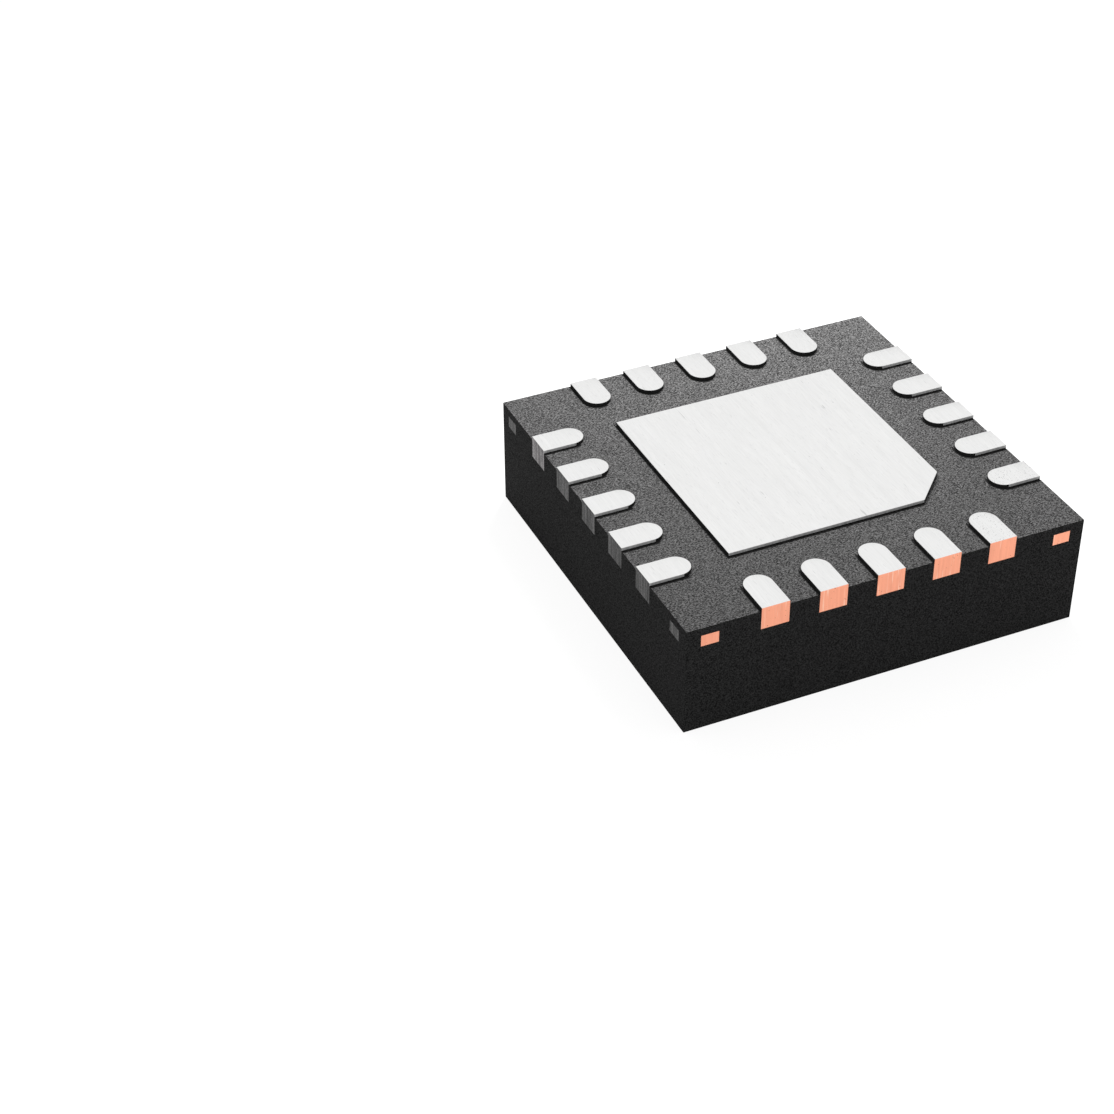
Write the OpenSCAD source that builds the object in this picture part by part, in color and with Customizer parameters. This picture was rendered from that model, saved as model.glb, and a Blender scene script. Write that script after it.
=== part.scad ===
// Quad flat no-lead chip package with terminals on its four sides and an exposed pad.
// It lies on its marking face: the origin is the centre of that face and +Z points to the terminals.
// Terminal 1 is on the front side, next to the pad's cut corner, and the count runs clockwise seen from +Z.

/* [Package] */
// Terminals on each of the four sides
per_side = 5; // [4:1:7]
// Distance between the centre lines of neighbouring terminals
pitch = 0.5; // [0.4:0.05:0.65]
// Distance from the outermost terminal's centre line to the side face round the corner
corner_room = 0.75; // [0.7:0.01:1]
// Height of the moulded body, from the marking face to the face that shows the terminals
mould_h = 0.97; // [0.85:0.01:1.4]
// Height by which the pad and the terminals stand out of the moulded face
standoff = 0.03; // [0.01:0.005:0.04]

/* [Lead frame] */
// Thickness of the copper strip
frame_t = 0.2; // [0.17:0.01:0.25]
// Thickness left where the strip is etched half through
etched_t = 0.1; // [0.06:0.01:0.12]
// Reach of the buried ledges that lock the strip into the mould
lock_l = 0.08; // [0.04:0.01:0.1]
// Width of a terminal, which is also the diameter of its round inner end
terminal_w = 0.24; // [0.18:0.01:0.28]
// Length of a terminal on the moulded face, from the side face to its round end
terminal_l = 0.4; // [0.3:0.01:0.45]
// Distance between the exposed pad and the ends of the terminals
pad_gap = 0.325; // [0.25:0.005:0.4]
// Leg of the cut corner that marks terminal 1 on the pad
pad_cut = 0.3; // [0.1:0.01:0.5]
// Width of the tie bars that held the pad while the body was moulded
tie_w = 0.15; // [0.1:0.01:0.17]
// Distance from the middle of a tie bar's end to the package's corner
tie_inset = 0.2; // [0.15:0.01:0.24]

/* [Die] */
// Side of the square die
die_side = 1.4; // [1.2:0.05:1.6]
// Thickness of the die
die_t = 0.2; // [0.1:0.01:0.25]
// Thickness of the adhesive between die and pad
attach_t = 0.025; // [0.015:0.005:0.05]
// Width of the adhesive that is squeezed out round the die
attach_rim = 0.04; // [0.01:0.01:0.08]

/* [Bond wires] */
// Diameter of the wire
wire_d = 0.025; // [0.018:0.001:0.03]
// Diameter of the ball bond on the die
ball_d = 0.06; // [0.045:0.005:0.08]
// Height of the ball bond
ball_h = 0.015; // [0.01:0.001:0.03]
// Distance from the die's corner to the middle of the first ball bond, along the edge
ball_corner = 0.2; // [0.1:0.01:0.35]
// Distance from the die's edge to the middle of a ball bond
ball_inset = 0.06; // [0.05:0.01:0.12]
// Height of the loop above the die's face, to the wire's centre line
loop_h = 0.15; // [0.11:0.01:0.25]
// Radius of the bend at the top of the loop
loop_r = 0.06; // [0.04:0.01:0.08]
// Extra thickness of the wire in the bend, where it is upset
bend_swell = 0.002; // [0.001:0.001:0.004]
// Distance from a terminal's buried end to the stitch bond on it
stitch_inset = 0.08; // [0.06:0.01:0.12]

/* [Hidden] */
$fn = 32;
// Facets round a wire in a preview
wire_fn = 16;
terminal_count = 4 * per_side;
// Length by which the strip runs on past the side faces until the package is sawn free
saw_street = 0.1;
quarter = 90;

// Plan sizes, measured from the package's centre
body_side = (per_side - 1) * pitch + 2 * corner_room;
half_body = body_side / 2;
terminal_end = half_body - terminal_l;
tongue_end = terminal_end - lock_l;
half_pad = terminal_end - pad_gap;
half_ledge = half_pad + lock_l;
// Growth of a 45 degree corner cut when its outline is offset by the ledge
ledge_cut = pad_cut + lock_l * (2 - sqrt(2));
tie_fork = half_body - tie_inset;

// Heights, measured from the marking face
land_z = mould_h + standoff;
frame_z = land_z - frame_t;
attach_z = frame_z - attach_t;
die_z = attach_z - die_t;

// Bond wire, drawn in its own upright plane with u along the wire and z as above
ball_u = die_side / 2 - ball_inset;
ball_pitch = (die_side - 2 * ball_corner) / (per_side - 1);
stitch_u = tongue_end + stitch_inset;
bend_z = die_z - loop_h + loop_r;
// Depth to which one stretch of a wire is rooted in the next
root_l = wire_d / 5;

MOULD = "#2e2e30";
SILVER = "#dcdcda";
SILICON = "#6f7680";
ADHESIVE = "#b9bbbd";
GOLD = "#d9b34a";

// Terminals are numbered from 1; each side takes per_side of them
function side_of(i) = floor((i - 1) / per_side);
// Place along the side in steps of one pitch, from + to - as the count runs clockwise
function step_of(i) = (per_side - 1) / 2 - (i - 1) % per_side;

// Turns what is drawn on the front side to the side of terminal i
module on_side_of(i) {
    rotate([0, 0, -quarter * side_of(i)]) children();
}

// Square outline with one corner cut at 45 degrees, on the front right
module cut_square(half, cut) {
    polygon([
        [-half, -half],
        [half - cut, -half],
        [half, -half + cut],
        [half, half],
        [-half, half]
    ]);
}

// Outline of a terminal on the front side, from the side face to a round end at y = -end
module terminal_outline(end, street) {
    nose = terminal_w / 2;
    translate([-nose, -half_body - street]) square([terminal_w, half_body + street - end - nose]);
    translate([0, -end - nose]) circle(d = terminal_w);
}

// Tie bar towards the front right corner, which forks into one leg to each side face
module tie_bar_outline(street) {
    leg = tie_inset + tie_w / 2 + street;
    rotate(-quarter / 2) translate([0, -tie_w / 2]) square([tie_fork * sqrt(2), tie_w]);
    translate([tie_fork - tie_w / 2, -half_body - street]) square([tie_w, leg]);
    translate([half_body + street - leg, -tie_fork - tie_w / 2]) square([leg, tie_w]);
}

// Epoxy body, moulded round everything else and sawn to size
// Its hollows run on past the side faces, and from the wires into the die and the terminals,
// so that no skin is left over them
module mould_body() {
    color(MOULD) difference() {
        translate([-half_body, -half_body, 0]) cube([body_side, body_side, mould_h]);
        die_pad(saw_street);
        die_attach();
        silicon_die();
        for (i = [1 : terminal_count]) {
            terminal(i, saw_street);
            bond_wire(i, rooted = true);
        }
    }
}

// Exposed pad with its buried ledge and four tie bars, all of one strip
module die_pad(street = 0) {
    color(SILVER) translate([0, 0, frame_z]) {
        linear_extrude(frame_t) cut_square(half_pad, pad_cut);
        linear_extrude(etched_t) {
            cut_square(half_ledge, ledge_cut);
            for (corner = [0 : 3]) rotate(quarter * corner) tie_bar_outline(street);
        }
    }
}

// Square plate that lies against a face at height z, on its marking side
module plate_under(z, side, thickness) {
    translate([0, 0, z]) rotate([2 * quarter, 0, 0]) linear_extrude(thickness) square(side, center = true);
}

// Adhesive that holds the die on the pad
module die_attach() {
    color(ADHESIVE) plate_under(frame_z, die_side + 2 * attach_rim, attach_t);
}

// Silicon die, with its circuit face towards the marking face
module silicon_die() {
    color(SILICON) plate_under(attach_z, die_side, die_t);
}

// One terminal: a foot of full thickness, and a buried tongue of half of it
module terminal(i, street = 0) {
    color(SILVER) on_side_of(i) translate([step_of(i) * pitch, 0, frame_z]) {
        linear_extrude(frame_t) terminal_outline(terminal_end, street);
        linear_extrude(etched_t) terminal_outline(tongue_end, street);
    }
}

// One bond wire: ball, neck, bend and the straight run down to its stitch
module bond_wire(i, rooted = false) {
    ball = [step_of(i) * ball_pitch, -ball_u];
    stitch = [step_of(i) * pitch, -stitch_u];
    across = stitch - ball;
    color(GOLD) on_side_of(i) translate(ball) rotate(atan2(across.y, across.x))
        wire_loop(norm(across), rooted);
}

// Wire from a ball at u = 0 to a stitch at u = span, or rooted in what it is bonded to at both ends
module wire_loop(span, rooted) {
    // From the bend's centre to the stitch
    du = span - loop_r;
    dz = frame_z - bend_z;
    reach = norm([du, dz]);
    // Slope of the run, which leaves the bend as its tangent
    slope = atan2(dz, du) + asin(loop_r / reach);
    // Length of the run, with enough past the stitch for a flat cut right across it
    run = sqrt(reach * reach - loop_r * loop_r) + wire_d / tan(slope);
    neck = loop_h - loop_r - ball_h;
    translate([0, 0, die_z - ball_h]) cylinder(d = ball_d, h = ball_h + (rooted ? root_l : 0));
    translate([0, 0, bend_z - root_l]) cylinder(d = wire_d, h = neck + 2 * root_l, $fn = wire_fn);
    translate([loop_r, 0, bend_z]) rotate([quarter, 0, 0]) rotate(2 * quarter)
        rotate_extrude(angle = quarter + slope, $fn = wire_fn)
            translate([loop_r, 0]) circle(d = wire_d + bend_swell, $fn = wire_fn);
    difference() {
        translate([loop_r, 0, bend_z]) rotate([0, quarter - slope, 0])
            translate([loop_r, 0, -root_l]) cylinder(d = wire_d, h = run + root_l, $fn = wire_fn);
        if (!rooted) translate([loop_r, -wire_d, frame_z]) cube([2 * span, 2 * wire_d, 2 * wire_d]);
    }
}

mould_body();
die_pad();
die_attach();
silicon_die();
for (i = [1 : terminal_count]) {
    terminal(i);
    bond_wire(i);
}
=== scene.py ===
"""Looks of a quad flat no-lead chip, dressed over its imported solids.

The chip lies on its marking face with its terminals up. The scene is in metres, but the finishes' textures
and the places of the camera and the softbox are written in millimetres.
"""

from math import atan2, pi, radians

import bmesh
import bpy
from mathutils import Matrix, Vector


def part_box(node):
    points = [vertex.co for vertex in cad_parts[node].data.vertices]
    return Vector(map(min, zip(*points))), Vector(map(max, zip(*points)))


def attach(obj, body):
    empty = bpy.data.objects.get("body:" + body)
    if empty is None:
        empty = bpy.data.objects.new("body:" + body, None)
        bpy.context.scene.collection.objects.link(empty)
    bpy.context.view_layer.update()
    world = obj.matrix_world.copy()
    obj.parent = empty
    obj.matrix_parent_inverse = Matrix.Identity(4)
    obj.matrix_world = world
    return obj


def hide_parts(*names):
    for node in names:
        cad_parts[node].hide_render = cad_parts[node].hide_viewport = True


bl_info = {
    "name": "Flat No-Lead Chip",
    "version": (1, 0, 0),
    "blender": (4, 5, 0),
    "location": "3D View > Sidebar > Chip",
    "description": "Dresses the solids of a flat no-lead chip with modelled edges and finishes",
    "category": "Object",
}

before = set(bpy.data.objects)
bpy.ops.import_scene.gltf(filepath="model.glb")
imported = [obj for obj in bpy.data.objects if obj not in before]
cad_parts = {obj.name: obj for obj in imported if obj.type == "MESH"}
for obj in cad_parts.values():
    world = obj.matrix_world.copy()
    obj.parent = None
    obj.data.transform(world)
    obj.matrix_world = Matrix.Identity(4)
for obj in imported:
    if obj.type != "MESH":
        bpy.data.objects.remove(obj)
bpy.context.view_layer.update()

MM = 1e-3
QUARTER = pi / 2
# Distance under which two points count as one, or a point counts as on a plane
TOUCH = 1e-8
# Angle under which neighbouring faces are one flat face, and above which an edge is sharp
FLAT = radians(0.5)
SHARP = radians(60)
# How straight on a face's normal points for the face to count as facing that way
FACING = 0.99
# How far a face's normal points up or down for the face to count as moulded and not sawn
LEVEL = 0.9
# How far a groove's slope turns towards +X and +Y for it to take the painted shadow of the metal beside it
SHADOW_SLOPE = 0.12
# How far a face's normal points up for the face to count as part of a land's rounded edge
TILTED = 0.1
# Turn of the finishes' noise about each axis
NOISE_TURN = (radians(35), radians(50), radians(20))
# Value about which noise varies
NOISE_MIDDLE = 0.5
# Steepness with which a scratch or speck sets in
MARK_STEEPNESS = 14
# Size of a moulded grain along X and Y, as shares of its size along Z
GRAIN_ALONG_X = 1.35
GRAIN_ALONG_Y = 0.6
# Places of a Mix node's colour sockets, which share their names with its other sockets
MIX_FIRST = 6
MIX_SECOND = 7
MIX_RESULT = 2
# Order in which the body takes its finishes, the sawn one darker as painted shade on the sides and as painted
# shadow in the groove
MOULDED, SHADED_SAWN = range(2)
# Order in which the pad takes its finishes, with an end or wall named for the axis that it faces, and last the
# dark wall finish that paints shade
PAD_FACE, PAD_END_Y, PAD_END_X, PAD_WALL_Y, PAD_SHADED_WALL = range(5)
# Order in which a terminal takes its finishes, the last of them the dark wall finish that paints shade
LAND, SAWN_END, SIDE_WALL, SHADED_WALL = range(4)

TERMINALS = sorted(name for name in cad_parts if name.startswith("terminal_"))
BOND_WIRES = sorted(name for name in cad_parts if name.startswith("bond_wire_"))
BODY_LOW, BODY_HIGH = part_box("mould_body")
PAD_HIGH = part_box("die_pad")[1]
# Corner of the face beside the pad's cut corner, where specks of dust lie on the lands,
# and the distances from it in millimetres at which they start to thin out and end
DUSTY_CORNER = Vector((BODY_HIGH.x, BODY_LOW.y, BODY_HIGH.z))
DUSTY_REACH = (0.9, 1.3)
# Middle of the smeared end that is worn the palest,
# and the distances from it in millimetres at which the wear starts to fade and ends
WORN_LOW, WORN_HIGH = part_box("terminal_10")
WORN_END = Vector((WORN_LOW.x, (WORN_LOW.y + WORN_HIGH.y) / 2, (WORN_LOW.z + WORN_HIGH.z) / 2))
WORN_REACH = (0.16, 0.34)


def length(name, description, default):
    """A size that a user may change."""
    return bpy.props.FloatProperty(
        name=name, description=description, default=default, min=0, unit="LENGTH", precision=6
    )


def angle(name, description, default):
    """An angle that a user may change, given in degrees."""
    return bpy.props.FloatProperty(
        name=name, description=description, default=radians(default), subtype="ANGLE"
    )


def colour(name, description, default):
    """A colour that a user may change, as linear red, green and blue."""
    return bpy.props.FloatVectorProperty(
        name=name, description=description, default=default, size=3, min=0, max=1, subtype="COLOR"
    )


def place(name, description, default):
    """A point that a user may change, given in millimetres."""
    return bpy.props.FloatVectorProperty(
        name=name,
        description=description,
        default=[value * MM for value in default],
        size=3,
        subtype="TRANSLATION",
        unit="LENGTH",
    )


class ChipSizes(bpy.types.PropertyGroup):
    """Sizes that the finished pieces have beside those of the solids"""

    body_edge: length("Body edge", "Width of the broken edge round the moulded body", 0.006 * MM)
    rim_along: length("Rim along X", "Width along X of the groove where the mould draws back", 0.019 * MM)
    rim_across: length("Rim along Y", "Width along Y of the groove where the mould draws back", 0.03 * MM)
    rim_depth: length("Rim depth", "Depth of the groove where the mould draws back", 0.007 * MM)
    land_edge: length("Land edge", "Width of the rounded edge round a land face", 0.003 * MM)
    # Below this depth the upright walls take the dark wall finish, which paints shade at their foot
    plating_depth: length("Plating depth", "Depth to which the upright walls took plating", 0.0275 * MM)
    tongue_reach: length("Tongue reach", "Reach of a terminal's buried tongue past its nose", 0.08 * MM)
    etched: length("Etched thickness", "Thickness of the strip where it is etched half through", 0.1 * MM)
    nose_segments: bpy.props.IntProperty(
        name="Nose segments", description="Segments of a terminal's half round nose", default=24, min=8
    )
    edge_segments: bpy.props.IntProperty(
        name="Edge segments", description="Segments across a rounded edge", default=2, min=1
    )


class ChipFinishes(bpy.types.PropertyGroup):
    """Colours and grain of the finishes"""

    moulded: colour("Moulded face", "Colour of the matt moulded faces", (0.067, 0.0663, 0.0663))
    # Darker than the moulded face as painted shade, for the sides are the same epoxy
    sawn: colour("Sawn mould", "Colour of the sawn sides of the body", (0.0165, 0.0165, 0.0165))
    plating: colour("Plating", "Colour of the plated lands and pad", (0.875, 0.875, 0.87))
    copper: colour("Sawn copper", "Colour of the sawn copper ends", (0.965, 0.397, 0.256))
    streak: colour("Saw streak", "Colour of the pale streaks on the copper ends", (1, 0.54, 0.4))
    smeared: colour("Smeared end", "Lightest colour of the smeared ends", (0.15, 0.148, 0.148))
    worn: colour("Worn end", "Lightest colour of the end that is worn the palest", (0.357, 0.341, 0.345))
    wall: colour("Plated wall", "Colour of the upright walls that took plating", (0.37, 0.37, 0.37))
    # Dark as painted shade on the walls, and on the round noses as a painted reflection of the dark mould
    etched: colour("Etched wall", "Colour of the walls that the etch left dark", (0.015, 0.015, 0.015))
    silicon: colour("Silicon", "Colour of the die", (0.11, 0.12, 0.15))
    adhesive: colour("Adhesive", "Colour of the silver-filled die adhesive", (0.45, 0.45, 0.46))
    gold: colour("Gold wire", "Colour of the bond wires", (0.83, 0.55, 0.17))
    grain: length("Mould grain", "Size of one grain of the mould's matt texture", 0.0108 * MM)


class ChipStage(bpy.types.PropertyGroup):
    """Camera, floor and light"""

    eye: place("Camera", "Where the camera stands", (-8.051, -13.812, 11.571))
    elevation: angle("Elevation", "How far the camera looks down", 36.09)
    turn: angle("Turn", "Camera's turn about the vertical from looking along +Y", -23.572)
    roll: angle("Roll", "Camera's turn about its own line of sight", -0.55)
    lens: bpy.props.FloatProperty(
        name="Lens", description="Focal length", default=75.24, unit="CAMERA", subtype="DISTANCE_CAMERA"
    )
    floor: length("Floor", "Side of the square floor", 0.6)
    floor_colour: colour("Floor colour", "Colour of the floor", (0.9, 0.9, 0.9))
    floor_glow: bpy.props.FloatProperty(
        name="Floor glow", description="Strength that brings the lit floor up to white", default=1.1, min=0
    )
    shadow: bpy.props.FloatProperty(
        name="Shadow",
        description="Depth of the shadow on the floor",
        default=0.22,
        min=0,
        max=1,
        subtype="FACTOR",
    )
    ambient: bpy.props.FloatProperty(
        name="Ambient light", description="Strength of the light from all round", default=0.9, min=0
    )
    softbox: place("Softbox", "Where the softbox behind the chip stands", (1.5, 3.5, 4.9))
    softbox_side: length("Softbox side", "Side of the square softbox", 3 * MM)
    softbox_power: bpy.props.FloatProperty(
        name="Softbox power", description="Power of the softbox", default=7.3e-4, min=0, unit="POWER"
    )


def add_node(tree, kind, **settings):
    """Adds a shader node. A setting names one of its inputs, or else one of its properties."""
    node = tree.nodes.new(kind)
    for name, value in settings.items():
        label = name.replace("_", " ").title()
        if label in node.inputs:
            node.inputs[label].default_value = value
        else:
            setattr(node, name, value)
    return node


def scaled(rgb, factor):
    """A colour made darker or lighter, with full alpha."""
    return tuple(min(1, value * factor) for value in rgb) + (1,)


def grey(value):
    """A grey of one lightness, with full alpha."""
    return (value, value, value, 1)


def group_tree(name, amount, output):
    """Starts a shader node group with its sockets, and returns it with its two end nodes."""
    tree = bpy.data.node_groups.new(name, "ShaderNodeTree")
    for label in ("Vector", "Cell Size"):
        tree.interface.new_socket(label, in_out="INPUT", socket_type="NodeSocketVector")
    tree.interface.new_socket(amount, in_out="INPUT", socket_type="NodeSocketFloat")
    tree.interface.new_socket(output, in_out="OUTPUT", socket_type="NodeSocketFloat")
    return tree, tree.nodes.new("NodeGroupInput"), tree.nodes.new("NodeGroupOutput")


def cell_noise(tree, entry, detail):
    """Noise whose cells have the group's own size along each axis."""
    cells = add_node(tree, "ShaderNodeVectorMath", operation="DIVIDE")
    # Turned so that the noise's own grid lines up with no face of the chip
    turned = add_node(tree, "ShaderNodeMapping", rotation=NOISE_TURN)
    noise = add_node(tree, "ShaderNodeTexNoise", scale=1, detail=detail, roughness=0.5)
    tree.links.new(entry.outputs["Vector"], cells.inputs[0])
    tree.links.new(entry.outputs["Cell Size"], cells.inputs[1])
    tree.links.new(cells.outputs["Vector"], turned.inputs["Vector"])
    tree.links.new(turned.outputs["Vector"], noise.inputs["Vector"])
    return noise


def texture_group():
    """Group for grain and brushed lines: noise from 0 to 1, with a contrast of its own."""
    if "Surface Texture" in bpy.data.node_groups:
        return bpy.data.node_groups["Surface Texture"]
    tree, entry, out = group_tree("Surface Texture", "Contrast", "Value")
    noise = cell_noise(tree, entry, detail=3)
    centred = add_node(tree, "ShaderNodeMath", operation="SUBTRACT")
    centred.inputs[1].default_value = NOISE_MIDDLE
    spread = add_node(tree, "ShaderNodeMath", operation="MULTIPLY_ADD", use_clamp=True)
    spread.inputs[2].default_value = NOISE_MIDDLE
    tree.links.new(noise.outputs["Fac"], centred.inputs[0])
    tree.links.new(centred.outputs[0], spread.inputs[0])
    tree.links.new(entry.outputs["Contrast"], spread.inputs[1])
    tree.links.new(spread.outputs[0], out.inputs["Value"])
    return tree


def marks_group():
    """Group for scratches and specks: a mask that is 1 only where the noise is at its highest."""
    if "Sparse Marks" in bpy.data.node_groups:
        return bpy.data.node_groups["Sparse Marks"]
    tree, entry, out = group_tree("Sparse Marks", "Threshold", "Mask")
    noise = cell_noise(tree, entry, detail=1)
    excess = add_node(tree, "ShaderNodeMath", operation="SUBTRACT")
    sharpened = add_node(tree, "ShaderNodeMath", operation="MULTIPLY", use_clamp=True)
    sharpened.inputs[1].default_value = MARK_STEEPNESS
    tree.links.new(noise.outputs["Fac"], excess.inputs[0])
    tree.links.new(entry.outputs["Threshold"], excess.inputs[1])
    tree.links.new(excess.outputs[0], sharpened.inputs[0])
    tree.links.new(sharpened.outputs[0], out.inputs["Mask"])
    return tree


class Finish:
    """One material while it is being built: its node tree, its shader and what its textures read."""

    def __init__(self, name, **shader):
        self.material = bpy.data.materials.new(name)
        self.material.use_nodes = True
        self.tree = self.material.node_tree
        self.shader = self.tree.nodes["Principled BSDF"]
        for label, value in shader.items():
            self.shader.inputs[label.replace("_", " ").title().replace("Ior", "IOR")].default_value = value
        self.place = self.tree.nodes.new("ShaderNodeTexCoord").outputs["Object"]

    def effect(self, group, cell, **amount):
        """Places a shared group, with its cell size in millimetres and its own amount."""
        node = add_node(self.tree, "ShaderNodeGroup", node_tree=group, **amount)
        node.inputs["Cell Size"].default_value = [size * MM for size in cell]
        self.tree.links.new(self.place, node.inputs["Vector"])
        return node.outputs[0]

    def texture(self, cell, contrast):
        """Grain or lines, as a value from 0 to 1."""
        return self.effect(texture_group(), cell, contrast=contrast)

    def marks(self, cell, threshold):
        """Scratches or specks, as a mask. The higher the threshold, the fewer they are."""
        return self.effect(marks_group(), cell, threshold=threshold)

    def near(self, point, inner, outer):
        """A mask that falls from 1 at one distance from a point to 0 at another, in millimetres."""
        distance = add_node(self.tree, "ShaderNodeVectorMath", operation="DISTANCE")
        distance.inputs[1].default_value = point
        mask = add_node(
            self.tree, "ShaderNodeMapRange", from_min=inner * MM, from_max=outer * MM, to_min=1, to_max=0
        )
        self.tree.links.new(self.place, distance.inputs[0])
        self.tree.links.new(distance.outputs["Value"], mask.inputs["Value"])
        return mask.outputs["Result"]

    def both(self, first, second):
        """A mask that is 1 only where two masks are."""
        node = add_node(self.tree, "ShaderNodeMath", operation="MULTIPLY")
        self.tree.links.new(first, node.inputs[0])
        self.tree.links.new(second, node.inputs[1])
        return node.outputs[0]

    def mix(self, factor, first, second, blend="MIX"):
        """Blends two colours by a mask. Each of the three may be a value or another node's output."""
        node = add_node(self.tree, "ShaderNodeMix", data_type="RGBA", blend_type=blend)
        sockets = (node.inputs["Factor"], node.inputs[MIX_FIRST], node.inputs[MIX_SECOND])
        for socket, value in zip(sockets, (factor, first, second)):
            if isinstance(value, bpy.types.NodeSocket):
                self.tree.links.new(value, socket)
            else:
                socket.default_value = value
        return node.outputs[MIX_RESULT]

    def base(self, socket):
        """Sets the base colour."""
        self.tree.links.new(socket, self.shader.inputs["Base Color"])

    def rough(self, factor, low, high):
        """Lets the roughness follow a texture, with one value where it is low and one where it is high."""
        node = add_node(self.tree, "ShaderNodeMapRange", to_min=low, to_max=high)
        self.tree.links.new(factor, node.inputs["Value"])
        self.tree.links.new(node.outputs["Result"], self.shader.inputs["Roughness"])

    def bump(self, height, depth):
        """Raises the surface by a texture, to a depth in millimetres."""
        node = add_node(self.tree, "ShaderNodeBump", strength=1, distance=depth * MM)
        self.tree.links.new(height, node.inputs["Height"])
        self.tree.links.new(node.outputs["Normal"], self.shader.inputs["Normal"])


def finish_once(make):
    """Lets a finish be made the first time it is asked for, and found again after that."""

    def find(finishes):
        name = make.__name__
        return bpy.data.materials.get(name) or make(name, finishes).material

    return find


@finish_once
def moulded_face(name, finishes):
    """Matt moulded epoxy: fine grain with pale filler specks, drawn out along X."""
    grain = finishes.grain / MM
    finish = Finish(name, roughness=0.7, specular_ior_level=0.2)
    speckle = finish.texture(cell=(GRAIN_ALONG_X * grain, GRAIN_ALONG_Y * grain, grain), contrast=6.3)
    cloud = finish.texture(cell=(0.35, 0.35, 0.35), contrast=1.2)
    dark = finish.mix(cloud, scaled(finishes.moulded, 0.1), scaled(finishes.moulded, 0.16))
    light = finish.mix(cloud, scaled(finishes.moulded, 1.8), scaled(finishes.moulded, 1.95))
    finish.base(finish.mix(speckle, dark, light))
    finish.rough(speckle, low=0.7, high=0.52)
    finish.bump(speckle, depth=0.0035)
    return finish


@finish_once
def sawn_mould(name, finishes):
    """Sawn epoxy: nearly black as painted shade, with fine grain and faint upright saw lines; it also paints
    the shadow in the groove beside the metal.
    """
    grain = finishes.grain / MM
    finish = Finish(name, roughness=0.9, specular_ior_level=0.02)
    speckle = finish.texture(cell=(grain, grain, grain), contrast=3.8)
    lines = finish.texture(cell=(0.03, 0.03, 0.6), contrast=1.4)
    dark = finish.mix(lines, scaled(finishes.sawn, 0.25), scaled(finishes.sawn, 0.36))
    light = finish.mix(lines, scaled(finishes.sawn, 1.7), scaled(finishes.sawn, 1.9))
    finish.base(finish.mix(speckle, dark, light))
    finish.bump(speckle, depth=0.002)
    return finish


@finish_once
def plated_land(name, finishes):
    """Bright plating, brushed along Y, with a few dark scratches and specks, and dust by one corner."""
    finish = Finish(name, metallic=1, roughness=0.34)
    brushed = finish.texture(cell=(0.01, 0.2, 0.01), contrast=3.5)
    broad = finish.texture(cell=(0.05, 0.8, 0.05), contrast=2)
    tone = finish.mix(broad, scaled(finishes.plating, 0.98), scaled(finishes.plating, 1.03))
    lines = finish.mix(brushed, grey(0.95), grey(1))
    scratches = finish.marks(cell=(0.02, 0.2, 0.02), threshold=0.745)
    specks = finish.marks(cell=(0.02, 0.02, 0.02), threshold=0.775)
    dashes = finish.marks(cell=(0.009, 0.08, 0.009), threshold=0.64)
    dashed = finish.mix(dashes, finish.mix(1, tone, lines, "MULTIPLY"), scaled(finishes.plating, 0.91))
    scratched = finish.mix(scratches, dashed, scaled(finishes.plating, 0.72))
    specked = finish.mix(specks, scratched, scaled(finishes.plating, 0.5))
    motes = finish.marks(cell=(0.012, 0.012, 0.012), threshold=0.65)
    dust = finish.both(motes, finish.near(DUSTY_CORNER, *DUSTY_REACH))
    finish.base(finish.mix(dust, specked, scaled(finishes.plating, 0.5)))
    finish.rough(brushed, low=0.28, high=0.42)
    finish.bump(brushed, depth=0.0004)
    return finish


@finish_once
def sawn_copper(name, finishes):
    """Bare copper that the saw cut through, with upright saw lines, pale streaks and small pits."""
    finish = Finish(name, metallic=1, roughness=0.42)
    lines = finish.texture(cell=(0.022, 0.022, 0.6), contrast=2.8)
    patches = finish.texture(cell=(0.05, 0.05, 0.09), contrast=1.6)
    dark = finish.mix(patches, scaled(finishes.copper, 0.87), scaled(finishes.copper, 0.97))
    sawn = finish.mix(lines, dark, scaled(finishes.copper, 1.11))
    streaks = finish.marks(cell=(0.012, 0.012, 0.3), threshold=0.63)
    pits = finish.marks(cell=(0.016, 0.016, 0.016), threshold=0.71)
    streaked = finish.mix(streaks, sawn, scaled(finishes.streak, 1.1))
    finish.base(finish.mix(pits, streaked, scaled(finishes.copper, 0.55)))
    finish.rough(lines, low=0.36, high=0.5)
    finish.bump(lines, depth=0.0005)
    return finish


@finish_once
def smeared_end(name, finishes):
    """Sawn end over which the saw smeared the plating, with upright streaks and one end worn paler."""
    finish = Finish(name, metallic=0, roughness=0.55, specular_ior_level=0.05)
    lines = finish.texture(cell=(0.022, 0.022, 0.5), contrast=3.6)
    grains = finish.texture(cell=(0.014, 0.014, 0.014), contrast=4)
    dark = finish.mix(grains, grey(0.12), grey(0.3))
    light = finish.mix(grains, grey(0.55), grey(1))
    wear = finish.near(WORN_END, *WORN_REACH)
    tone = finish.mix(wear, scaled(finishes.smeared, 1), scaled(finishes.worn, 1))
    finish.base(finish.mix(1, tone, finish.mix(lines, dark, light), "MULTIPLY"))
    finish.rough(lines, low=0.42, high=0.58)
    finish.bump(lines, depth=0.0005)
    return finish


@finish_once
def plated_wall(name, finishes):
    """Upright wall of the strip that took a thin plating."""
    finish = Finish(name, metallic=0.2, roughness=0.5)
    lines = finish.texture(cell=(0.02, 0.02, 0.2), contrast=1.8)
    finish.base(finish.mix(lines, scaled(finishes.wall, 0.75), scaled(finishes.wall, 1.25)))
    finish.bump(lines, depth=0.0005)
    return finish


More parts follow.
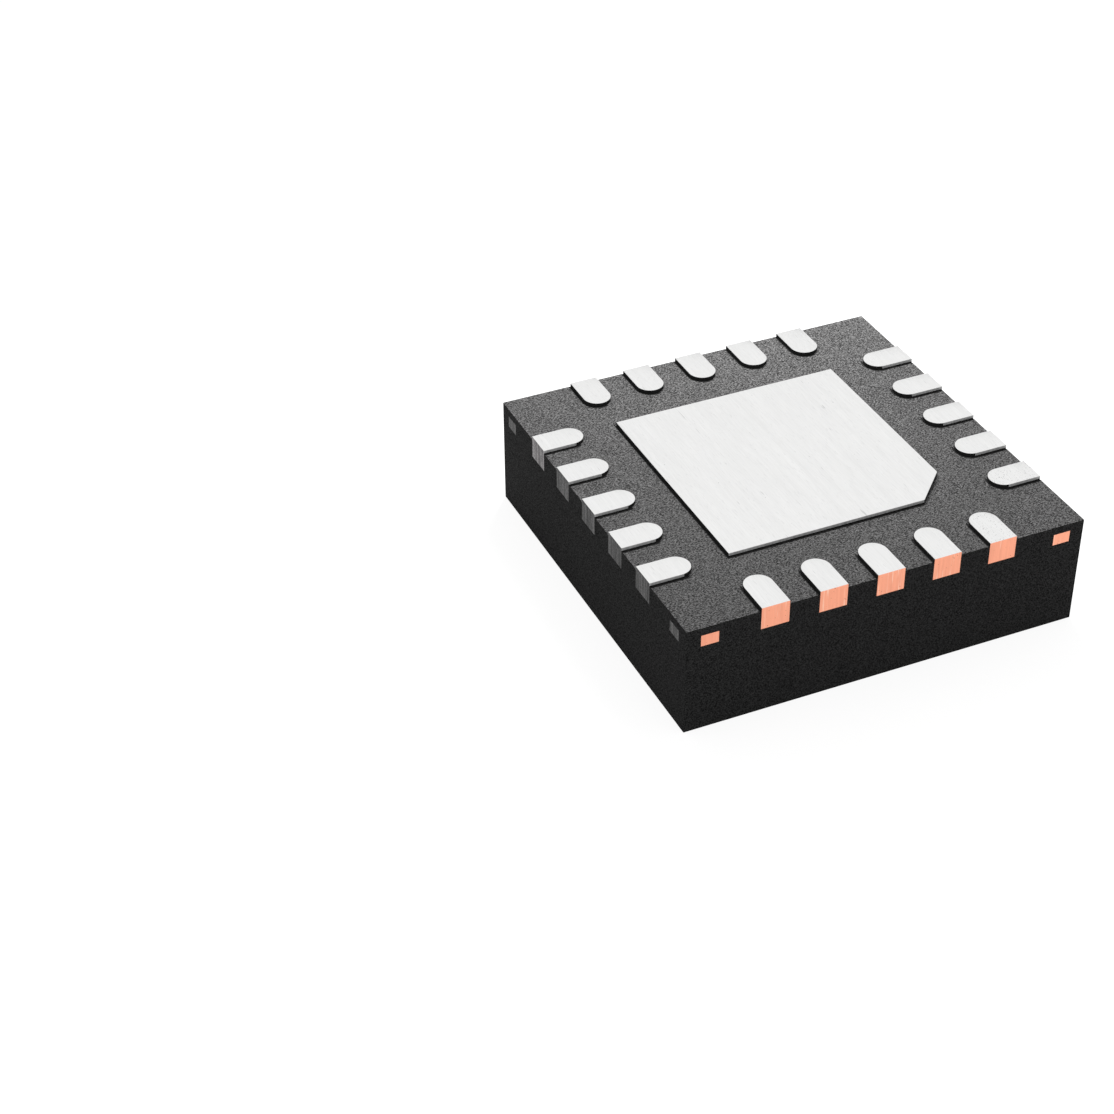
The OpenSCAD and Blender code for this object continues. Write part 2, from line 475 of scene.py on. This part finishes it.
@finish_once
def etched_wall(name, finishes):
    """Upright wall, rough, and dark as painted shade; on the round noses the dark is also a painted reflection
    of the dark mould.
    """
    finish = Finish(name, roughness=0.9, specular_ior_level=0.05)
    pits = finish.texture(cell=(0.015, 0.015, 0.015), contrast=2)
    finish.base(finish.mix(pits, scaled(finishes.etched, 0.6), scaled(finishes.etched, 1.4)))
    finish.bump(pits, depth=0.0015)
    return finish


@finish_once
def polished_silicon(name, finishes):
    """Silicon with a faint mottle from its layers."""
    finish = Finish(name, metallic=0.6, roughness=0.2)
    mottle = finish.texture(cell=(0.08, 0.08, 0.08), contrast=1.6)
    finish.base(finish.mix(mottle, scaled(finishes.silicon, 0.85), scaled(finishes.silicon, 1.2)))
    finish.rough(mottle, low=0.16, high=0.26)
    return finish


@finish_once
def silver_adhesive(name, finishes):
    """Epoxy filled with silver flakes."""
    finish = Finish(name, metallic=0.5, roughness=0.55)
    flakes = finish.texture(cell=(0.01, 0.01, 0.004), contrast=2.6)
    finish.base(finish.mix(flakes, scaled(finishes.adhesive, 0.6), scaled(finishes.adhesive, 1.4)))
    finish.bump(flakes, depth=0.001)
    return finish


@finish_once
def drawn_gold(name, finishes):
    """Drawn gold wire with a faint mottle."""
    finish = Finish(name, metallic=1, roughness=0.25)
    mottle = finish.texture(cell=(0.01, 0.01, 0.01), contrast=1.5)
    finish.base(finish.mix(mottle, scaled(finishes.gold, 0.9), scaled(finishes.gold, 1.1)))
    finish.rough(mottle, low=0.2, high=0.32)
    return finish


def copied_solid(node):
    """A bmesh of a node's solid, with its loose triangles joined into whole flat faces."""
    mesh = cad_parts[node].data.copy()
    # The normals kept for loose triangles would not fit the joined faces
    kept_normals = mesh.attributes.get("custom_normal")
    if kept_normals:
        mesh.attributes.remove(kept_normals)
    bm = bmesh.new()
    bm.from_mesh(mesh)
    bpy.data.meshes.remove(mesh)
    bmesh.ops.remove_doubles(bm, verts=bm.verts, dist=TOUCH)
    bmesh.ops.dissolve_limit(bm, angle_limit=FLAT, verts=bm.verts, edges=bm.edges)
    return bm


def bevel(bm, edges, width, segments):
    """Rounds some edges of a bmesh, and returns the new faces."""
    rounded = bmesh.ops.bevel(
        bm,
        geom=edges,
        offset=width,
        offset_type="OFFSET",
        segments=segments,
        profile=0.5,
        affect="EDGES",
        material=-1,
    )
    return rounded["faces"]


def at_height(element, z):
    """Tells whether all corners of an edge or face are at one height."""
    return all(abs(corner.co.z - z) < TOUCH for corner in element.verts)


def on_side_face(element):
    """Tells whether all corners of an edge or face are on one side face of the body."""
    return any(
        all(abs(corner.co[axis] - side[axis]) < TOUCH for corner in element.verts)
        for axis in (0, 1)
        for side in (BODY_LOW, BODY_HIGH)
    )


def flat_edge(edge):
    """Tells whether an edge only divides one flat face."""
    return edge.calc_face_angle(0) < FLAT


def outer_edge(edge):
    """Tells whether an edge is one of the block's own, between two of its six outer faces."""
    return not flat_edge(edge) and all(
        on_side_face(face) or at_height(face, BODY_LOW.z) or at_height(face, BODY_HIGH.z)
        for face in edge.link_faces
    )


def whole(bm):
    """All vertices, edges and faces of a bmesh."""
    return bm.verts[:] + bm.edges[:] + bm.faces[:]


def open_edges(bm):
    """Edges of a bmesh that only one face meets."""
    return [edge for edge in bm.edges if edge.is_boundary]


def corners_among(made):
    """Vertices among what an operator has made."""
    return [element for element in made if isinstance(element, bmesh.types.BMVert)]


def part_walls(bm, level):
    """Parts the upright walls of a bmesh at one height."""
    bmesh.ops.bisect_plane(bm, geom=whole(bm), dist=TOUCH, plane_co=(0, 0, level), plane_no=(0, 0, 1))


def above(face, level):
    """Tells whether the middle of a face is above one height."""
    return face.calc_center_median().z > level


def finished_piece(bm, name, replaced, materials):
    """Makes a bmesh a piece of the chip, which stands for a node of the frame."""
    mesh = bpy.data.meshes.new(name)
    for face in bm.faces:
        face.smooth = True
    bm.to_mesh(mesh)
    bm.free()
    mesh.set_sharp_from_angle(angle=SHARP)
    for material in materials:
        mesh.materials.append(material)
    piece = bpy.data.objects.new(name, mesh)
    bpy.context.scene.collection.objects.link(piece)
    # Keeps the wide faces flat beside their narrow rounded edges
    normals = piece.modifiers.new("even_normals", "WEIGHTED_NORMAL")
    normals.keep_sharp = True
    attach(piece, "root")
    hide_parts(replaced)


def dress_node(node, material):
    """Gives a node of the frame, whose shape is right as it is, a finish of its own."""
    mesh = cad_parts[node].data
    mesh.materials.clear()
    mesh.materials.append(material)


class CHIP_OT_moulded_body(bpy.types.Operator):
    """Model the moulded body with broken edges and a groove round the pad and each land"""

    bl_idname = "chip.moulded_body"
    bl_label = "Moulded Body"

    def execute(self, context):
        sizes = context.scene.chip_sizes
        finishes = context.scene.chip_finishes
        bm = copied_solid("mould_body")
        upper = [edge for edge in bm.edges if at_height(edge, BODY_HIGH.z) and not flat_edge(edge)]
        rim = [edge for edge in upper if not on_side_face(edge)]
        for face in bm.faces:
            face.material_index = self.finish_of(face)
        # Stretched while the rim is bevelled, so that the groove has its own width along X and Y and its depth
        along = sizes.rim_along
        stretch = Matrix.Diagonal((1, along / sizes.rim_across, along / sizes.rim_depth, 1))
        bmesh.ops.transform(bm, matrix=stretch, verts=bm.verts)
        groove = bevel(bm, rim, along, segments=1)
        bmesh.ops.transform(bm, matrix=stretch.inverted(), verts=bm.verts)
        # The groove's slopes on the sides of the metal towards -X and -Y take the darker sawn finish as the
        # metal's painted shadow
        for face in groove:
            face.normal_update()
            face.material_index = SHADED_SAWN if face.normal.x + face.normal.y > SHADOW_SLOPE else MOULDED
        outer = [edge for edge in bm.edges if outer_edge(edge)]
        for face in bevel(bm, outer, sizes.body_edge, sizes.edge_segments):
            face.material_index = self.finish_of(face)
        bmesh.ops.remove_doubles(bm, verts=bm.verts, dist=TOUCH)
        materials = [moulded_face(finishes), sawn_mould(finishes)]
        finished_piece(bm, "moulded_body", "mould_body", materials)
        return {"FINISHED"}

    def finish_of(self, face):
        """Number of the finish that a face takes, with level faces moulded and the others sawn, whose darker
        colour paints shade on them.
        """
        face.normal_update()
        return MOULDED if abs(face.normal.z) > LEVEL else SHADED_SAWN


class CHIP_OT_exposed_pad(bpy.types.Operator):
    """Model the exposed pad with its ledge and tie bars, and round the edge of its face"""

    bl_idname = "chip.exposed_pad"
    bl_label = "Exposed Pad"

    def execute(self, context):
        sizes = context.scene.chip_sizes
        finishes = context.scene.chip_finishes
        bm = copied_solid("die_pad")
        rim = [edge for edge in bm.edges if at_height(edge, PAD_HIGH.z) and not flat_edge(edge)]
        bevel(bm, rim, sizes.land_edge, sizes.edge_segments)
        plated = PAD_HIGH.z - sizes.plating_depth
        part_walls(bm, plated)
        for face in bm.faces:
            face.material_index = self.finish_of(face, plated)
        materials = [
            plated_land(finishes),
            sawn_copper(finishes),
            smeared_end(finishes),
            plated_wall(finishes),
            etched_wall(finishes),
        ]
        finished_piece(bm, "plated_pad", "die_pad", materials)
        return {"FINISHED"}

    def finish_of(self, face, plated):
        """Number of the finish that a face takes, with plating above one height; below it, and on walls that
        do not face along Y, the dark wall finish paints shade.
        """
        faces_y = abs(face.normal.y) > FACING
        if on_side_face(face):
            return PAD_END_Y if faces_y else PAD_END_X
        if not above(face, plated):
            return PAD_SHADED_WALL
        if face.normal.z > TILTED:
            return PAD_FACE
        return PAD_WALL_Y if faces_y else PAD_SHADED_WALL


class CHIP_OT_terminals(bpy.types.Operator):
    """Model the terminals, each with a round nose, a buried tongue and a sawn end"""

    bl_idname = "chip.terminals"
    bl_label = "Terminals"

    def execute(self, context):
        sizes = context.scene.chip_sizes
        finishes = context.scene.chip_finishes
        shape = bpy.data.meshes.new("terminal_shape")
        bm = self.terminal_shape(sizes)
        bm.to_mesh(shape)
        bm.free()
        land = plated_land(finishes)
        # The noses and lower walls take the dark finish as painted shade
        nose = etched_wall(finishes)
        for node in TERMINALS:
            low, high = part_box(node)
            middle = (low + high) / 2
            turn = Matrix.Rotation(round(atan2(middle.x, -middle.y) / QUARTER) * QUARTER, 4, "Z")
            along = (turn.inverted() @ middle).x
            ends_along_y = abs(middle.y) > abs(middle.x)
            end = sawn_copper(finishes) if ends_along_y else smeared_end(finishes)
            # Side walls that face along X take the dark finish as painted shade, those that face along Y the
            # plated one
            wall = nose if ends_along_y else plated_wall(finishes)
            bm = bmesh.new()
            bm.from_mesh(shape)
            bmesh.ops.transform(bm, matrix=turn @ Matrix.Translation((along, 0, 0)), verts=bm.verts)
            finished_piece(bm, "plated_" + node, node, [land, end, wall, nose])
        bpy.data.meshes.remove(shape)
        return {"FINISHED"}

    def terminal_shape(self, sizes):
        """A terminal in the middle of the front side, with each face's finish as its material index."""
        # The first terminal is on the front side
        low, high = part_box(TERMINALS[0])
        nose = (high.x - low.x) / 2
        foot = high.y - low.y - sizes.tongue_reach
        bm = bmesh.new()
        bmesh.ops.create_circle(bm, cap_ends=True, segments=2 * sizes.nose_segments, radius=nose)
        bmesh.ops.bisect_plane(
            bm, geom=whole(bm), dist=TOUCH, plane_co=(0, 0, 0), plane_no=(0, -1, 0), clear_outer=True
        )
        straight = [edge for edge in bm.edges if all(abs(corner.co.y) < TOUCH for corner in edge.verts)]
        arc = [edge for edge in bm.edges if edge not in straight]
        self.pull(bm, straight, (0, nose - foot, 0))
        upper = bm.faces[:]
        self.pull(bm, arc, (0, sizes.tongue_reach, 0))
        step = bmesh.ops.extrude_face_region(bm, geom=upper)["geom"]
        bmesh.ops.translate(bm, verts=corners_among(step), vec=(0, 0, high.z - low.z - sizes.etched))
        bmesh.ops.delete(bm, geom=[face for face in upper if face.is_valid], context="FACES")
        self.pull(bm, open_edges(bm), (0, 0, -sizes.etched))
        bmesh.ops.holes_fill(bm, edges=open_edges(bm))
        bmesh.ops.dissolve_limit(bm, angle_limit=FLAT, verts=bm.verts, edges=bm.edges)
        bmesh.ops.recalc_face_normals(bm, faces=bm.faces)
        bmesh.ops.translate(bm, verts=bm.verts, vec=(0, low.y + foot - nose, low.z + sizes.etched))
        rim = [edge for edge in bm.edges if at_height(edge, high.z)]
        bevel(bm, rim, sizes.land_edge, sizes.edge_segments)
        plated = high.z - sizes.plating_depth
        part_walls(bm, plated)
        for face in bm.faces:
            face.material_index = self.finish_of(face, plated)
        return bm

    def finish_of(self, face, plated):
        """Number of the finish that a face takes, with plating above one height; below it, and on the round
        nose, the dark wall finish paints shade.
        """
        if on_side_face(face):
            return SAWN_END
        if not above(face, plated):
            return SHADED_WALL
        if face.normal.z > TILTED:
            return LAND
        return SIDE_WALL if abs(face.normal.x) > FACING else SHADED_WALL

    def pull(self, bm, edges, offset):
        """Extrudes some edges by an offset."""
        moved = bmesh.ops.extrude_edge_only(bm, edges=edges)["geom"]
        bmesh.ops.translate(bm, verts=corners_among(moved), vec=offset)


class CHIP_OT_die_stack(bpy.types.Operator):
    """Finish the die and the adhesive under it, which keep the shapes of their solids"""

    bl_idname = "chip.die_stack"
    bl_label = "Die and Adhesive"

    def execute(self, context):
        finishes = context.scene.chip_finishes
        dress_node("silicon_die", polished_silicon(finishes))
        dress_node("die_attach", silver_adhesive(finishes))
        return {"FINISHED"}


class CHIP_OT_bond_wires(bpy.types.Operator):
    """Finish the bond wires, which keep the shapes of their solids"""

    bl_idname = "chip.bond_wires"
    bl_label = "Bond Wires"

    def execute(self, context):
        gold = drawn_gold(context.scene.chip_finishes)
        for node in BOND_WIRES:
            dress_node(node, gold)
        return {"FINISHED"}


class CHIP_OT_stage(bpy.types.Operator):
    """Set up the floor, the light and the camera"""

    bl_idname = "chip.stage"
    bl_label = "Stage"

    def execute(self, context):
        stage = context.scene.chip_stage
        context.scene.view_settings.view_transform = "Standard"
        self.light_world(context.scene, stage)
        self.lay_floor(context.scene, stage)
        self.hang_softbox(context.scene, stage)
        self.set_camera(context.scene, stage)
        return {"FINISHED"}

    def seen_directly(self, tree):
        """A mask that is 1 for the camera and for what metal or glass shows."""
        path = tree.nodes.new("ShaderNodeLightPath")
        mask = path.outputs["Is Camera Ray"]
        for ray in ("Is Glossy Ray", "Is Transmission Ray"):
            either = add_node(tree, "ShaderNodeMath", operation="MAXIMUM")
            tree.links.new(mask, either.inputs[0])
            tree.links.new(path.outputs[ray], either.inputs[1])
            mask = either.outputs[0]
        return mask

    def light_world(self, scene, stage):
        """Even light from all round, before a white background."""
        world = bpy.data.worlds.new("studio")
        scene.world = world
        world.use_nodes = True
        tree = world.node_tree
        background = tree.nodes["Background"]
        background.inputs["Color"].default_value = (1, 1, 1, 1)
        strength = add_node(tree, "ShaderNodeMapRange", to_min=stage.ambient, to_max=1)
        tree.links.new(self.seen_directly(tree), strength.inputs["Value"])
        tree.links.new(strength.outputs["Result"], background.inputs["Strength"])

    def lay_floor(self, scene, stage):
        """White floor at the marking face, which keeps a faint shadow."""
        bm = bmesh.new()
        bmesh.ops.create_grid(bm, x_segments=1, y_segments=1, size=stage.floor / 2)
        mesh = bpy.data.meshes.new("floor")
        bm.to_mesh(mesh)
        bm.free()
        floor = bpy.data.objects.new("floor", mesh)
        scene.collection.objects.link(floor)
        material = bpy.data.materials.new("floor_paper")
        material.use_nodes = True
        tree = material.node_tree
        paper = tree.nodes["Principled BSDF"]
        paper.inputs["Base Color"].default_value = (*stage.floor_colour, 1)
        paper.inputs["Roughness"].default_value = 1
        paper.inputs["Specular IOR Level"].default_value = 0
        glow = add_node(tree, "ShaderNodeEmission", color=(1, 1, 1, 1), strength=stage.floor_glow)
        share = add_node(tree, "ShaderNodeMath", operation="MULTIPLY")
        share.inputs[1].default_value = 1 - stage.shadow
        blend = tree.nodes.new("ShaderNodeMixShader")
        tree.links.new(self.seen_directly(tree), share.inputs[0])
        tree.links.new(share.outputs[0], blend.inputs["Fac"])
        tree.links.new(paper.outputs["BSDF"], blend.inputs[1])
        tree.links.new(glow.outputs["Emission"], blend.inputs[2])
        tree.links.new(blend.outputs["Shader"], tree.nodes["Material Output"].inputs["Surface"])
        mesh.materials.append(material)

    def hang_softbox(self, scene, stage):
        """Softbox behind the chip, which brightens the far side of its face."""
        lamp = bpy.data.lights.new("softbox", "AREA")
        lamp.shape = "SQUARE"
        lamp.size = stage.softbox_side
        lamp.energy = stage.softbox_power
        softbox = bpy.data.objects.new("softbox", lamp)
        softbox.location = stage.softbox
        aim = Vector((0, 0, BODY_HIGH.z)) - softbox.location
        softbox.rotation_euler = aim.to_track_quat("-Z", "Y").to_euler()
        softbox.visible_camera = False
        softbox.visible_glossy = False
        scene.collection.objects.link(softbox)

    def set_camera(self, scene, stage):
        """Camera at the photograph's place and angle."""
        data = bpy.data.cameras.new("camera")
        data.lens = stage.lens
        data.clip_start = MM
        data.clip_end = 1
        camera = bpy.data.objects.new("camera", data)
        tilt = Matrix.Rotation(QUARTER - stage.elevation, 4, "X")
        turn = Matrix.Rotation(stage.turn, 4, "Z")
        roll = Matrix.Rotation(stage.roll, 4, "Z")
        camera.matrix_world = Matrix.Translation(stage.eye) @ turn @ tilt @ roll
        scene.collection.objects.link(camera)
        scene.camera = camera


PIECES = (
    CHIP_OT_moulded_body,
    CHIP_OT_exposed_pad,
    CHIP_OT_terminals,
    CHIP_OT_die_stack,
    CHIP_OT_bond_wires,
    CHIP_OT_stage,
)


class CHIP_PT_sidebar(bpy.types.Panel):
    """Lists the chip's operators and settings"""

    bl_idname = "CHIP_PT_sidebar"
    bl_label = "Chip"
    bl_space_type = "VIEW_3D"
    bl_region_type = "UI"
    bl_category = "Chip"

    def draw(self, context):
        for operator in PIECES:
            self.layout.operator(operator.bl_idname)
        for settings in (context.scene.chip_sizes, context.scene.chip_finishes, context.scene.chip_stage):
            box = self.layout.box()
            for name in settings.__annotations__:
                box.prop(settings, name)


CLASSES = (ChipSizes, ChipFinishes, ChipStage, *PIECES, CHIP_PT_sidebar)


def register():
    for cls in CLASSES:
        bpy.utils.register_class(cls)
    bpy.types.Scene.chip_sizes = bpy.props.PointerProperty(type=ChipSizes)
    bpy.types.Scene.chip_finishes = bpy.props.PointerProperty(type=ChipFinishes)
    bpy.types.Scene.chip_stage = bpy.props.PointerProperty(type=ChipStage)


def unregister():
    del bpy.types.Scene.chip_stage
    del bpy.types.Scene.chip_finishes
    del bpy.types.Scene.chip_sizes
    for cls in reversed(CLASSES):
        bpy.utils.unregister_class(cls)


def main():
    register()
    bpy.ops.chip.stage()
    bpy.ops.chip.moulded_body()
    bpy.ops.chip.exposed_pad()
    bpy.ops.chip.terminals()
    bpy.ops.chip.die_stack()
    bpy.ops.chip.bond_wires()


if __name__ == "__main__":
    main()
